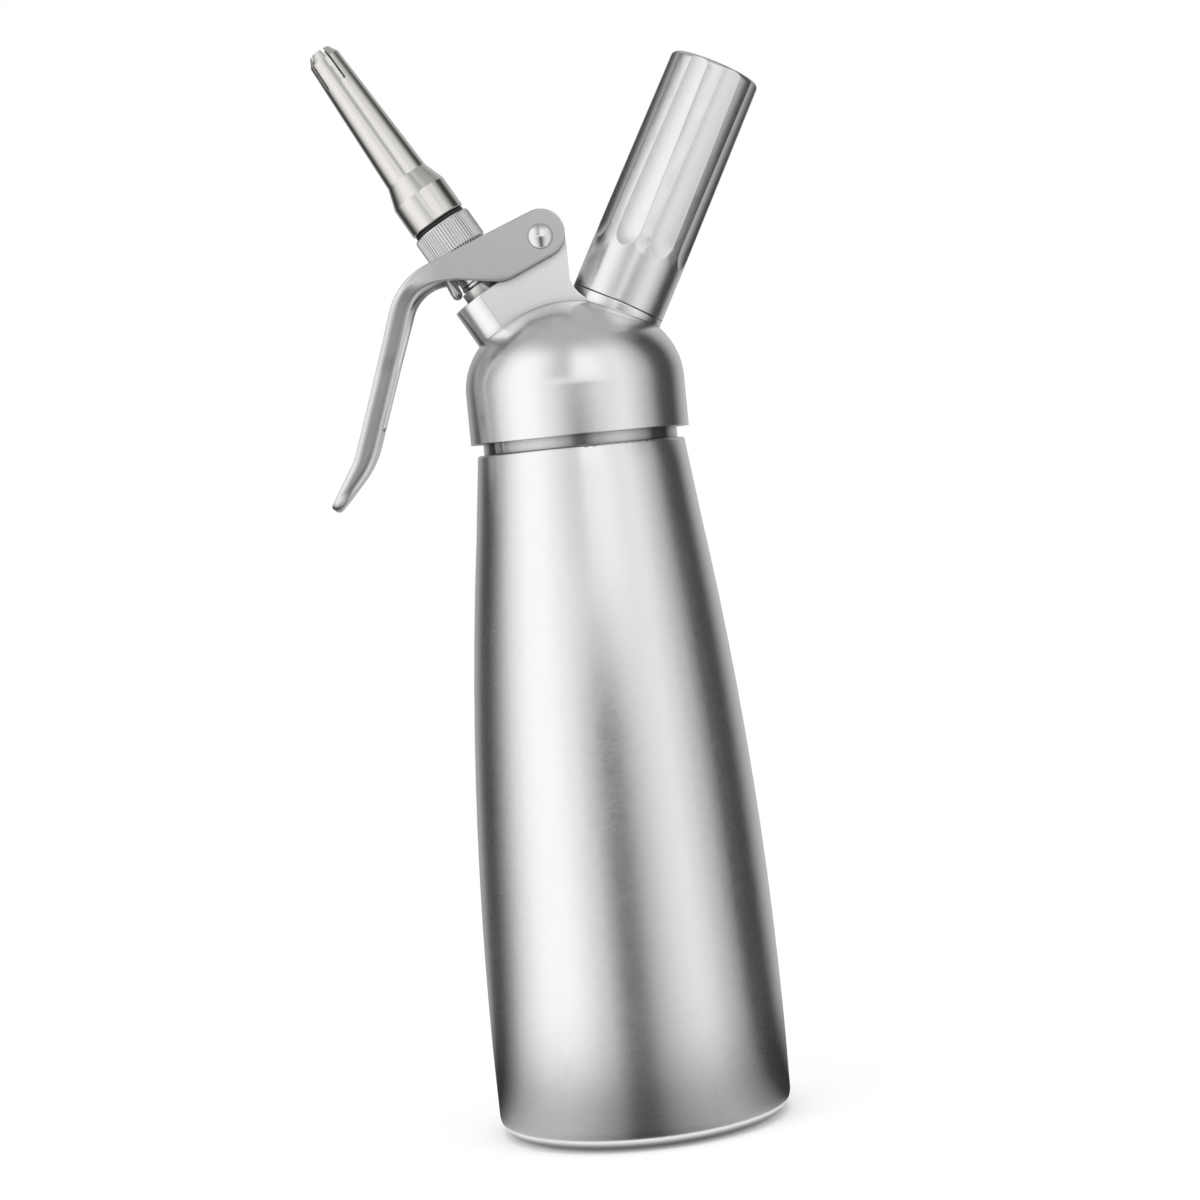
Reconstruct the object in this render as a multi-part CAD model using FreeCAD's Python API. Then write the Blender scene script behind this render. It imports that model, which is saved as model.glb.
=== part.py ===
import FreeCAD, Part
import math
import os

from FreeCAD import Vector

os.makedirs("parts", exist_ok=True)

# Whipped cream dispenser, lengths in millimetres, angles in degrees.
# The origin is the middle of the bottle's flat base, and +Z runs up the bottle.
# The valve and nozzle lean towards -X, and the charger holder leans towards +X.

# Bottle
BOTTLE_R = 41.05
BOTTLE_BELLY_Z = 24.0
BOTTLE_SIDE_R = 1060.0
BOTTLE_CONE_Z = 165.0
BOTTLE_CONE_TOP_R = 28.9
SHOULDER_Z = 189.2
BASE_CORNER_R = 5.5
SHOULDER_EDGE_R = 0.8
BOTTLE_WALL = 1.2
NECK_R = 27.0
NECK_H = 17.8
NECK_WALL = 1.5

# Head casting
NECK_THREAD_GAP = 0.35
HEAD_WALL = 3.05
RIM_GAP = 3.1
SKIRT_H = 13.7
DOME_H = 24.8
DOME_SHOULDER_R = 20.0
DOME_WALL = 3.2
GASKET_T = 2.0
GASKET_W = 2.7
GASKET_GAP = 0.1

# Valve axis, in the plane Y = 0
VALVE_TILT = 29.6
VALVE_AXIS_RISE = 4.0
BOSS_R = 10.7
BOSS_MOUTH_T = 43.6
SLAB_T = 20.8
SEAT_T = 25.0
SEAT_BOSS_R = 9.4
SEAT_BOSS_L = 9.0
SEAT_BORE_R = 6.0
PORT_CHAMBER_L = 5.6
ORING_BORE_R = 5.1
CUP_FLOOR_T = 34.0
CUP_R = 6.4
CUP_RISE = 3.0
CUP_WALL = 0.65
CUP_FLOOR = 1.2
PRESS_GAP = 0.02
RUN_GAP = 0.05
SLIDE_GAP = 0.15
STEM_R = 4.0
STEM_BORE_R = 2.5
STEM_PORT_R = 1.1
STEM_PORTS = 4
STEM_TOP_T = 73.5
STEM_STUD_R = 2.4
SEAL_T = 2.0
SEAL_R = 7.8
RETAINER_T = 1.6
RETAINER_NUT_T = 2.6
RETAINER_AF = 8.0
ORING_W = 1.7
SPRING_WIRE = 0.9
SPRING_R = 4.95
SPRING_COILS = 5
WASHER_T = 0.85
WASHER_GAP = 0.5
COLLAR_R = 5.4
COLLAR_H = 4.3

# Adapter ring, seal and nozzle
RING_T = 57.5
RING_H = 8.6
RING_R = 8.43
RING_CHAMFER = 0.7
SPIGOT_R = 6.3
SPIGOT_H = 7.4
NOZZLE_SEAL_R = 7.7
NOZZLE_SEAL_T = 1.3
SEAL_FACE_GAP = 0.04
NOZZLE_R = 8.2
NOZZLE_SKIRT_H = 9.1
NOZZLE_CONE_H = 6.0
NOZZLE_NECK_R = 6.2
NOZZLE_TAPER_H = 39.2
NOZZLE_TIP_R = 4.6
NOZZLE_TOOTH_H = 2.6
NOZZLE_TOOTH_R = 3.1
NOZZLE_WALL = 0.9
NOZZLE_THREAD_GAP = 0.25
SLITS = 5
SLIT_W = 1.0
SLIT_L = 10.4
SLIT_PHASE = 20.0

# Lever
PIVOT_X = -5.5
PIVOT_RISE = 54.9
LEVER_W = 26.0
CHEEK_GAP = 0.3
LEVER_END_R = 6.6
LEVER_END_REACH = 6.9
LEVER_TOP_SLOPE = 21.5
LEVER_UNDER_SLOPE = 24.0
LEVER_TOP_RISE = 7.35
LEVER_UNDER_DROP = 5.9
LEVER_REACH = 40.3
BEND_OUTER_R = 20.0
BEND_INNER_R = 11.0
UNDER_FLAT_DROP = 9.5
UNDER_FLAT_X = 23.4
BELLY_R = 8.0
BELLY_X = 14.6
HANDLE_LEAN = 19.4
HANDLE_L = 50.8
HANDLE_T = 5.5
FLARE_OUTER_R = 12.0
FLARE_INNER_R = 26.0
TIP_LEAN = 32.0
TIP_L = 14.6
TIP_T = 1.9
TIP_R = 0.8
HANDLE_W = 17.0
HANDLE_TIP_W = 14.0
SHOULDER_DROP = 12.0
GRIP_DROP = 30.0
PLAN_SHOULDER_R = 22.0
HANDLE_TIP_R = 6.2
SCOOP_R = 9.5
SCOOP_DEPTH = 1.5
CHANNEL_WALL = 2.4
CHANNEL_FLOOR = 2.6
CHANNEL_L = 41.0
WELL_L = 38.7
WELL_START = 17.5
PLATE_DROP = 2.3
PLATE_T = 2.2
PAD_R = 1.5
STUD_R = 1.45
STUD_L = 6.5
STUD_OFF = 7.6
STUD_Y = 4.6
STUD_END_T = 46.75
SLOT_GAP = 0.4
SLOT_PLAY = 1.5

PIN_R = 2.4
PIN_HEAD_R = 3.25
PIN_HEAD_H = 1.5
PIN_TAIL = 2.4
CLIP_R = 4.2
CLIP_T = 0.8
CLIP_GROOVE = 0.5
LUG_R = 6.0
SLAB_RIGHT_X = 1.35
LUG_LEAN = 15.0
ROOT_RISE = 4.7
ROOT_SPREAD = 5.5
ROOT_SINK = 2.0

# Charger side
HOLDER_TILT = 28.2
HOLDER_AXIS_RISE = 9.2
HOLDER_SEAT_Q = 29.6
HOLDER_R = 13.25
HOLDER_TOP_R = 12.8
HOLDER_L = 70.5
HOLDER_BAND = 14.3
HOLDER_END_R = 1.6
HOLDER_SEAT_GAP = 0.25
FLUTES = 8
FLUTE_R = 16.0
FLUTE_DEPTH = 0.95
GAS_BOSS_R = 10.2
GAS_BOSS_H = 9.0
GAS_THREAD_GAP = 0.3
GAS_INNER_BOSS_R = 8.0
GAS_INNER_BOSS_L = 5.0
GAS_INNER_Q = 25.6
CHARGER_R = 9.0
CHARGER_L = 64.8
CHARGER_NECK_R = 4.3
CHARGER_NECK_L = 9.0
CHARGER_SHOULDER_L = 6.5
CHARGER_WALL = 1.6
CHARGER_GAP = 0.3
PIERCE_HOLE_R = 1.15
GAS_SHANK_R = 3.6
GAS_CHANNEL_R = 0.7
GAS_FLANGE_T = 2.6
GAS_FLANGE_AF = 11.0
GAS_NIPPLE_R = 2.4
GAS_NIPPLE_L = 6.6
GAS_GASKET_T = 1.0
GAS_GASKET_R = 5.4
CHARGER_SEAT_T = 1.6
PIN_NEEDLE_R = 0.9
PIN_NEEDLE_L = 3.6
SLEEVE_WALL = 1.0

HEAD_RIM_Z = SHOULDER_Z + RIM_GAP
VALVE_AXIS_Z = HEAD_RIM_Z + VALVE_AXIS_RISE
PIVOT_Z = HEAD_RIM_Z + PIVOT_RISE
HOLDER_AXIS_Z = HEAD_RIM_Z + HOLDER_AXIS_RISE
NECK_TOP_Z = SHOULDER_Z + NECK_H
LEDGE_Z = NECK_TOP_Z + GASKET_T + 2 * GASKET_GAP
SKIRT_BORE_R = NECK_R + NECK_THREAD_GAP
HEAD_R = SKIRT_BORE_R + HEAD_WALL
DOME_Z = HEAD_RIM_Z + SKIRT_H
CHEEK_Y = SLAB_T / 2 + CHEEK_GAP
RING_TOP_T = RING_T + RING_H
NOZZLE_T = RING_TOP_T + NOZZLE_SEAL_T + 2 * SEAL_FACE_GAP
CUP_TOP_T = BOSS_MOUTH_T + CUP_RISE
WASHER_BOTTOM_T = CUP_TOP_T + WASHER_GAP
COLLAR_T = WASHER_BOTTOM_T + WASHER_T
COLLAR_TOP_T = COLLAR_T + COLLAR_H
GAS_TOP_Q = HOLDER_SEAT_Q + 1.2
FAR = 400.0


def frame(tilt, axis_z):
    """Placement whose local Z is a leaning axis through (0, 0, axis_z)."""
    return FreeCAD.Placement(Vector(0, 0, axis_z), FreeCAD.Rotation(Vector(0, 1, 0), tilt))


VALVE = frame(-VALVE_TILT, VALVE_AXIS_Z)
GAS = frame(HOLDER_TILT, HOLDER_AXIS_Z)


def placed(shape, placement):
    moved = shape.copy()
    moved.Placement = placement.multiply(moved.Placement)
    return moved


def rod(radius, low, high):
    return Part.makeCylinder(radius, high - low, Vector(0, 0, low))


def tube(outer, inner, low, high):
    return rod(outer, low, high).cut(rod(inner, low - 1, high + 1))


def line(a, b):
    return Part.LineSegment(Vector(*a), Vector(*b)).toShape()


def arc(a, m, b):
    return Part.Arc(Vector(*a), Vector(*m), Vector(*b)).toShape()


def profile(points):
    """Closed straight-sided face in the XZ plane from (x, z) pairs."""
    corners = [Vector(x, 0, z) for x, z in points]
    return Part.Face(Part.makePolygon(corners + corners[:1]))


def turned(face):
    return face.revolve(Vector(0, 0, 0), Vector(0, 0, 1), 360)


def lathe(points):
    """Solid of revolution about Z from (radius, z) pairs."""
    return turned(profile(points))


def across(wire_face, half):
    """Slab of half thickness half about the plane Y = 0 from a face in that plane."""
    lifted = wire_face.copy()
    lifted.translate(Vector(0, -half, 0))
    return lifted.extrude(Vector(0, 2 * half, 0))


def valve_point(off, t):
    """Point of the XZ plane off the valve axis by off, towards +X, and t along it."""
    a = math.radians(VALVE_TILT)
    return (off * math.cos(a) - t * math.sin(a), VALVE_AXIS_Z + off * math.sin(a) + t * math.cos(a))


def valve_coordinates(x, z):
    """Offset from the valve axis and distance along it of a point of the XZ plane."""
    a = math.radians(VALVE_TILT)
    rise = z - VALVE_AXIS_Z
    return (x * math.cos(a) + rise * math.sin(a), rise * math.cos(a) - x * math.sin(a))


def flat(pair):
    """Point of the XZ plane from an (x, z) pair."""
    return (pair[0], 0, pair[1])


def slope(angle):
    a = math.radians(angle)
    return math.cos(a), math.sin(a)


def hexagon(flats, low, high):
    corner = flats / math.sqrt(3)
    points = [Vector(corner * math.cos(math.radians(60 * k)), corner * math.sin(math.radians(60 * k)), low)
              for k in range(6)]
    return Part.Face(Part.makePolygon(points + points[:1])).extrude(Vector(0, 0, high - low))


def bottle_side_r(z):
    return BOTTLE_R - (z - BOTTLE_BELLY_Z) ** 2 / (2 * BOTTLE_SIDE_R)


def bottle_outline(inset, base_z, corner_r, top_z):
    """Outer edges of the bottle's wall, moved inwards by inset, from the axis to the shoulder."""
    corner_z = base_z + corner_r
    low_r = bottle_side_r(corner_z) - inset
    mid_z = (corner_z + BOTTLE_CONE_Z) / 2
    cut = corner_r * (1 - math.sqrt(0.5))
    cone_r = bottle_side_r(BOTTLE_CONE_Z) - inset
    top_r = BOTTLE_CONE_TOP_R - inset
    edges = [line((0, 0, base_z), (low_r - corner_r, 0, base_z))]
    edges.append(arc((low_r - corner_r, 0, base_z), (low_r - cut, 0, base_z + cut), (low_r, 0, corner_z)))
    mid_r = bottle_side_r(mid_z) - inset
    edges.append(arc((low_r, 0, corner_z), (mid_r, 0, mid_z), (cone_r, 0, BOTTLE_CONE_Z)))
    edges.append(line((cone_r, 0, BOTTLE_CONE_Z), (top_r, 0, top_z)))
    return edges, top_r


def bottle():
    edge_z = SHOULDER_Z - SHOULDER_EDGE_R
    edges, top_r = bottle_outline(0, 0, BASE_CORNER_R, edge_z)
    edge_cut = SHOULDER_EDGE_R * (1 - math.sqrt(0.5))
    flat_r = top_r - SHOULDER_EDGE_R
    edges.append(arc((top_r, 0, edge_z), (top_r - edge_cut, 0, SHOULDER_Z - edge_cut), (flat_r, 0, SHOULDER_Z)))
    edges.append(line((flat_r, 0, SHOULDER_Z), (NECK_R, 0, SHOULDER_Z)))
    edges.append(line((NECK_R, 0, SHOULDER_Z), (NECK_R, 0, NECK_TOP_Z)))
    edges.append(line((NECK_R, 0, NECK_TOP_Z), (0, 0, NECK_TOP_Z)))
    edges.append(line((0, 0, NECK_TOP_Z), (0, 0, 0)))
    outer = turned(Part.Face(Part.Wire(edges)))
    inner_top_z = SHOULDER_Z - 2 * BOTTLE_WALL
    inside, inside_r = bottle_outline(BOTTLE_WALL, BOTTLE_WALL, BASE_CORNER_R - BOTTLE_WALL, inner_top_z)
    mouth_r = NECK_R - NECK_WALL
    inside.append(line((inside_r, 0, inner_top_z), (mouth_r, 0, SHOULDER_Z)))
    inside.append(line((mouth_r, 0, SHOULDER_Z), (mouth_r, 0, NECK_TOP_Z + 1)))
    inside.append(line((mouth_r, 0, NECK_TOP_Z + 1), (0, 0, NECK_TOP_Z + 1)))
    inside.append(line((0, 0, NECK_TOP_Z + 1), (0, 0, BOTTLE_WALL)))
    return outer.cut(turned(Part.Face(Part.Wire(inside))))


def dome_curves(inset):
    """Crown and shoulder arcs of the dome in the XZ plane, moved inwards by inset, and the crown height."""
    shoulder_x = HEAD_R - DOME_SHOULDER_R
    crown_r = (shoulder_x ** 2 + DOME_H ** 2 - DOME_SHOULDER_R ** 2) / (2 * (DOME_H - DOME_SHOULDER_R))
    crown_z = DOME_Z + DOME_H - crown_r
    lean = math.atan2(DOME_Z - crown_z, shoulder_x)
    shoulder_r = DOME_SHOULDER_R - inset
    top_r = crown_r - inset

    def crown_at(angle):
        return (top_r * math.cos(angle), 0, crown_z + top_r * math.sin(angle))

    def shoulder_at(angle):
        return (shoulder_x + shoulder_r * math.cos(angle), 0, DOME_Z + shoulder_r * math.sin(angle))

    crown = arc(crown_at(math.pi / 2), crown_at((math.pi / 2 + lean) / 2), crown_at(lean))
    return crown, shoulder_at, lean, crown_z + top_r


def dome_blank(inset):
    """Skirt and dome as one solid turned piece, its surface moved inwards by inset."""
    crown, shoulder_at, lean, top = dome_curves(inset)
    radius = HEAD_R - inset
    return turned(Part.Face(Part.Wire([
        line((0, 0, HEAD_RIM_Z), (radius, 0, HEAD_RIM_Z)),
        line((radius, 0, HEAD_RIM_Z), (radius, 0, DOME_Z)),
        arc(shoulder_at(0), shoulder_at(lean / 2), shoulder_at(lean)),
        crown,
        line((0, 0, top), (0, 0, HEAD_RIM_Z)),
    ])))


def gasket_r():
    return SKIRT_BORE_R - GASKET_GAP


def head_slab():
    """Upright slab that carries the valve boss at one end and the pivot lug at the other."""
    arm, pivot_t = valve_coordinates(PIVOT_X, PIVOT_Z)
    foot = flat(valve_point(0, SEAT_T + 2))
    mouth_left = flat(valve_point(0, BOSS_MOUTH_T))
    mouth_right = flat(valve_point(arm - LUG_R, BOSS_MOUTH_T))
    lug_left = flat(valve_point(arm - LUG_R, pivot_t))
    lug_top = (PIVOT_X, 0, PIVOT_Z + LUG_R)
    lean_cos, lean_sin = slope(LUG_LEAN)
    lug_right = (PIVOT_X + LUG_R * lean_cos, 0, PIVOT_Z + LUG_R * lean_sin)
    crown_z = DOME_Z + DOME_H
    edge_top = (SLAB_RIGHT_X, 0, PIVOT_Z - LUG_R / 2)
    edge_low = (SLAB_RIGHT_X, 0, crown_z + ROOT_RISE)
    root = (SLAB_RIGHT_X + ROOT_SPREAD, 0, crown_z - ROOT_SINK)
    side = Part.Face(Part.Wire([
        line(foot, mouth_left),
        line(mouth_left, mouth_right),
        line(mouth_right, lug_left),
        arc(lug_left, lug_top, lug_right),
        arc(lug_right, (SLAB_RIGHT_X - 0.3, 0, PIVOT_Z - 0.6), edge_top),
        line(edge_top, edge_low),
        arc(edge_low, (SLAB_RIGHT_X + 1.0, 0, crown_z + ROOT_RISE * 0.42), root),
        line(root, (SLAB_RIGHT_X, 0, crown_z - 3 * ROOT_SINK)),
        line((SLAB_RIGHT_X, 0, crown_z - 3 * ROOT_SINK), foot),
    ]))
    nose = placed(rod(BOSS_R, SEAT_T + 1, BOSS_MOUTH_T), VALVE)
    flats = Part.makeBox(FAR, SLAB_T, FAR, Vector(-FAR / 2, -SLAB_T / 2, 0))
    return across(side, SLAB_T / 2).fuse(nose.common(flats))


def head_cavity():
    """Hollow of the head: threaded bore for the neck, gasket ledge and inner dome."""
    inner_r = gasket_r() - GASKET_W
    low = HEAD_RIM_Z - 1
    crown, shoulder_at, lean, top = dome_curves(DOME_WALL)
    inner_shoulder_r = DOME_SHOULDER_R - DOME_WALL
    start = math.acos((inner_r - HEAD_R + DOME_SHOULDER_R) / inner_shoulder_r)
    return turned(Part.Face(Part.Wire([
        line((0, 0, low), (SKIRT_BORE_R, 0, low)),
        line((SKIRT_BORE_R, 0, low), (SKIRT_BORE_R, 0, LEDGE_Z)),
        line((SKIRT_BORE_R, 0, LEDGE_Z), (inner_r, 0, LEDGE_Z)),
        line((inner_r, 0, LEDGE_Z), shoulder_at(start)),
        arc(shoulder_at(start), shoulder_at((start + lean) / 2), shoulder_at(lean)),
        crown,
        line((0, 0, top), (0, 0, low)),
    ])))


def head():
    seat_boss = placed(rod(SEAT_BOSS_R, SEAT_T, SEAT_T + SEAT_BOSS_L), VALVE)
    gas_inner_boss = placed(rod(GAS_INNER_BOSS_R, GAS_INNER_Q, GAS_INNER_Q + GAS_INNER_BOSS_L), GAS)
    body = dome_blank(0).fuse([
        head_slab(),
        placed(rod(HOLDER_R, GAS_INNER_Q, HOLDER_SEAT_Q), GAS),
        placed(rod(GAS_BOSS_R, GAS_INNER_Q, HOLDER_SEAT_Q + GAS_BOSS_H), GAS),
    ])
    body = body.cut(head_cavity().cut([seat_boss, gas_inner_boss]))
    chamber_top = SEAT_T + PORT_CHAMBER_L
    valve_bores = rod(SEAT_BORE_R, SEAT_T - 12, chamber_top).fuse([
        rod(ORING_BORE_R, chamber_top - 1, CUP_FLOOR_T + 1),
        rod(CUP_R + PRESS_GAP, CUP_FLOOR_T, BOSS_MOUTH_T + 12),
    ])
    gas_bores = rod(GAS_SHANK_R + PRESS_GAP, GAS_INNER_Q - 12, GAS_TOP_Q).fuse(
        rod(CHARGER_NECK_R + CHARGER_GAP, GAS_TOP_Q, FAR / 4))
    pivot = Part.makeCylinder(PIN_R + PRESS_GAP, FAR, Vector(PIVOT_X, -FAR / 2, PIVOT_Z), Vector(0, 1, 0))
    return body.cut([placed(valve_bores, VALVE), placed(gas_bores, GAS), pivot])


def head_gasket():
    outer = gasket_r()
    low = NECK_TOP_Z + GASKET_GAP
    return tube(outer, outer - GASKET_W, low, low + GASKET_T)


def guide_cup():
    bore_r = CUP_R - CUP_WALL
    cup = tube(CUP_R, bore_r, CUP_FLOOR_T, CUP_TOP_T)
    floor = tube(CUP_R, STEM_R + SLIDE_GAP, CUP_FLOOR_T, CUP_FLOOR_T + CUP_FLOOR)
    return placed(cup.fuse(floor).removeSplitter(), VALVE)


def valve_stem():
    seal_top = SEAT_T - RUN_GAP
    seal_low = seal_top - SEAL_T
    stud_low = seal_low - RETAINER_T - RETAINER_NUT_T - 0.8
    ring_mid = CUP_FLOOR_T - 1.6
    groove_low = ring_mid - ORING_W / 2
    groove_high = ring_mid + ORING_W / 2
    groove_r = ORING_BORE_R - RUN_GAP - ORING_W
    body = lathe([
        (0, stud_low), (STEM_STUD_R, stud_low), (STEM_STUD_R, seal_top), (STEM_R, seal_top),
        (STEM_R, groove_low), (groove_r, groove_low), (groove_r, groove_high), (STEM_R, groove_high),
        (STEM_R, STEM_TOP_T), (0, STEM_TOP_T),
    ])
    port_t = SEAT_T + PORT_CHAMBER_L / 2
    body = body.cut(rod(STEM_BORE_R, port_t - 2 * STEM_PORT_R, STEM_TOP_T + 1))
    for k in range(STEM_PORTS // 2):
        angle = math.pi * k * 2 / STEM_PORTS
        across_dir = Vector(math.cos(angle), math.sin(angle), 0)
        start = Vector(0, 0, port_t) - across_dir * (2 * STEM_R)
        body = body.cut(Part.makeCylinder(STEM_PORT_R, 4 * STEM_R, start, across_dir))
    return placed(body, VALVE)


def stem_oring():
    ring_mid = CUP_FLOOR_T - 1.6
    outer = ORING_BORE_R - RUN_GAP
    major = outer - ORING_W / 2
    return placed(Part.makeTorus(major, ORING_W / 2 - PRESS_GAP, Vector(0, 0, ring_mid)), VALVE)


def valve_seal():
    top = SEAT_T - RUN_GAP
    bevel = SEAL_T / 4
    return placed(lathe([
        (STEM_STUD_R + PRESS_GAP, top - SEAL_T), (SEAL_R - bevel, top - SEAL_T), (SEAL_R, top - SEAL_T + bevel),
        (SEAL_R, top), (STEM_STUD_R + PRESS_GAP, top),
    ]), VALVE)


def seal_retainer():
    top = SEAT_T - RUN_GAP - SEAL_T
    flange = rod(SEAL_R - 0.8, top - RETAINER_T, top)
    nut = hexagon(RETAINER_AF, top - RETAINER_T - RETAINER_NUT_T, top - RETAINER_T)
    bore = rod(STEM_STUD_R + PRESS_GAP, top - RETAINER_T - RETAINER_NUT_T - 1, top + 1)
    return placed(flange.fuse(nut).cut(bore), VALVE)


def spring_washer():
    outer = CUP_R - CUP_WALL - SLIDE_GAP
    return placed(tube(outer, STEM_R + PRESS_GAP, WASHER_BOTTOM_T, COLLAR_T), VALVE)


def thrust_collar():
    bevel = 0.5
    return placed(lathe([
        (STEM_R + PRESS_GAP, COLLAR_T), (COLLAR_R - bevel / 2, COLLAR_T), (COLLAR_R - bevel / 2, COLLAR_T + bevel / 2),
        (COLLAR_R, COLLAR_T + bevel / 2), (COLLAR_R, COLLAR_TOP_T - bevel), (COLLAR_R - bevel, COLLAR_TOP_T),
        (STEM_R + PRESS_GAP, COLLAR_TOP_T),
    ]), VALVE)


def helix_point(radius, pitch, low, turn):
    angle = 2 * math.pi * turn
    return Vector(radius * math.cos(angle), radius * math.sin(angle), low + pitch * turn)


def helix_tangent(radius, pitch, turn):
    angle = 2 * math.pi * turn
    step = Vector(-2 * math.pi * radius * math.sin(angle), 2 * math.pi * radius * math.cos(angle), pitch)
    return step.normalize()


def arc_between(start, apex, end):
    """Arc from start to end whose end tangents meet at apex, equally far from both."""
    middle = (start + end) * 0.5
    half = (end - start).Length / 2
    lean = math.acos(min(1, half / (apex - start).Length))
    crown = middle + (apex - middle).normalize() * (half * math.tan(lean / 2))
    return Part.Arc(start, crown, end).toShape()


def biarc(a, ta, b, tb):
    """Two arcs from a to b with the given unit tangents."""
    v = b - a
    t = ta + tb
    spread = 2 * (1 - ta.dot(tb))
    d = (-v.dot(t) + math.sqrt(v.dot(t) ** 2 + spread * v.dot(v))) / spread
    qa = a + ta * d
    qb = b - tb * d
    joint = (qa + qb) * 0.5
    return [arc_between(a, qa, joint), arc_between(joint, qb, b)]


def spring_span():
    low = CUP_FLOOR_T + CUP_FLOOR + SPRING_WIRE / 2 + RUN_GAP
    high = WASHER_BOTTOM_T - SPRING_WIRE / 2 - RUN_GAP
    return low, high


def valve_spring():
    """Compression spring: one unbroken wire of half-turn double arcs."""
    low, high = spring_span()
    pitch = (high - low) / SPRING_COILS
    edges = []
    for k in range(2 * SPRING_COILS):
        t0 = k / 2
        t1 = (k + 1) / 2
        edges += biarc(
            helix_point(SPRING_R, pitch, low, t0), helix_tangent(SPRING_R, pitch, t0),
            helix_point(SPRING_R, pitch, low, t1), helix_tangent(SPRING_R, pitch, t1))
    path = Part.Wire(edges)
    section = Part.Wire(Part.Circle(helix_point(SPRING_R, pitch, low, 0), helix_tangent(SPRING_R, pitch, 0),
                                    SPRING_WIRE / 2).toShape())
    sweep = Part.BRepOffsetAPI.MakePipeShell(path)
    sweep.add(section)
    sweep.build()
    sweep.makeSolid()
    print("spring least gap to itself, mm:", round(spring_gap(pitch, low), 3))
    return placed(sweep.shape(), VALVE)


def spring_gap(pitch, low):
    """Least distance between wire surfaces of neighbouring turns, on points of the helix."""
    steps = 96
    first = helix_point(SPRING_R, pitch, low, 0)
    others = [helix_point(SPRING_R, pitch, low, 0.5 + k / steps) for k in range(steps + 1)]
    return min((other - first).Length for other in others) - SPRING_WIRE


def adapter_ring():
    knurled = lathe([
        (0, RING_T), (RING_R - RING_CHAMFER / 2, RING_T), (RING_R, RING_T + RING_CHAMFER / 2),
        (RING_R, RING_TOP_T - RING_CHAMFER), (RING_R - RING_CHAMFER, RING_TOP_T),
        (SPIGOT_R, RING_TOP_T), (SPIGOT_R, RING_TOP_T + SPIGOT_H - RING_CHAMFER),
        (SPIGOT_R - RING_CHAMFER, RING_TOP_T + SPIGOT_H), (0, RING_TOP_T + SPIGOT_H),
    ])
    return placed(knurled.cut(rod(STEM_R + PRESS_GAP, RING_T - 1, RING_TOP_T + SPIGOT_H + 1)), VALVE)


def nozzle_seal():
    low = RING_TOP_T + SEAL_FACE_GAP
    seal = tube(NOZZLE_SEAL_R, SPIGOT_R + SLIDE_GAP, low, low + NOZZLE_SEAL_T)
    rims = [e for e in seal.Edges if abs(e.Length - 2 * math.pi * NOZZLE_SEAL_R) < 0.01 and len(e.Vertexes) == 1]
    return placed(seal.makeFillet(0.4 * NOZZLE_SEAL_T, rims), VALVE)


def nozzle():
    skirt_top = NOZZLE_T + NOZZLE_SKIRT_H
    cone_top = skirt_top + NOZZLE_CONE_H
    taper_top = cone_top + NOZZLE_TAPER_H
    tip = taper_top + NOZZLE_TOOTH_H
    thread_r = SPIGOT_R + NOZZLE_THREAD_GAP
    thread_top = RING_TOP_T + SPIGOT_H + 1
    outer = lathe([
        (0, NOZZLE_T), (NOZZLE_R - 0.3, NOZZLE_T), (NOZZLE_R, NOZZLE_T + 0.3), (NOZZLE_R, skirt_top),
        (NOZZLE_NECK_R, cone_top), (NOZZLE_TIP_R, taper_top), (NOZZLE_TOOTH_R, tip), (0, tip),
    ])
    inner = lathe([
        (0, NOZZLE_T - 1), (thread_r, NOZZLE_T - 1), (thread_r, thread_top),
        (NOZZLE_NECK_R - NOZZLE_WALL, cone_top), (NOZZLE_TIP_R - NOZZLE_WALL, taper_top),
        (NOZZLE_TOOTH_R - NOZZLE_WALL / 2, tip + 1), (0, tip + 1),
    ])
    body = outer.cut(inner)
    slit_low = tip - SLIT_L
    for k in range(SLITS):
        slit = Part.makeBox(2 * NOZZLE_R, SLIT_W, 2 * SLIT_L, Vector(0, -SLIT_W / 2, slit_low + SLIT_W / 2))
        root = Part.makeCylinder(SLIT_W / 2, 2 * NOZZLE_R, Vector(0, 0, slit_low + SLIT_W / 2), Vector(1, 0, 0))
        cutter = slit.fuse(root)
        cutter.rotate(Vector(0, 0, 0), Vector(0, 0, 1), SLIT_PHASE - 90 + k * 360 / SLITS)
        body = body.cut(cutter)
    return placed(body, VALVE)


def soft_loop(corners):
    """Closed run of edges in one plane through (point, radius) corners, each rounded by a tangent arc."""
    arcs = []
    for k, (corner, radius) in enumerate(corners):
        at = Vector(*corner)
        back = (Vector(*corners[k - 1][0]) - at).normalize()
        on = (Vector(*corners[(k + 1) % len(corners)][0]) - at).normalize()
        half = back.getAngle(on) / 2
        reach = radius / math.tan(half)
        middle = at + (back + on).normalize() * (radius / math.sin(half) - radius)
        arcs.append((at + back * reach, middle, at + on * reach))
    edges = []
    for k, (start, middle, end) in enumerate(arcs):
        edges.append(Part.Arc(start, middle, end).toShape())
        edges.append(Part.LineSegment(end, arcs[(k + 1) % len(arcs)][0]).toShape())
    return edges


def by_pivot(run, rise, angle=LEVER_TOP_SLOPE):
    """Point at run down the line that slopes by angle through the pivot, and rise square to it."""
    cos_a, sin_a = slope(angle)
    return (PIVOT_X - run * cos_a - rise * sin_a, 0, PIVOT_Z - run * sin_a + rise * cos_a)


def handle_line(start, length, lean):
    """Point at length from start, downwards and outwards along a line that leans by lean from upright."""
    cos_a, sin_a = slope(lean)
    return (start[0] - length * sin_a, 0, start[2] - length * cos_a)


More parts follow.
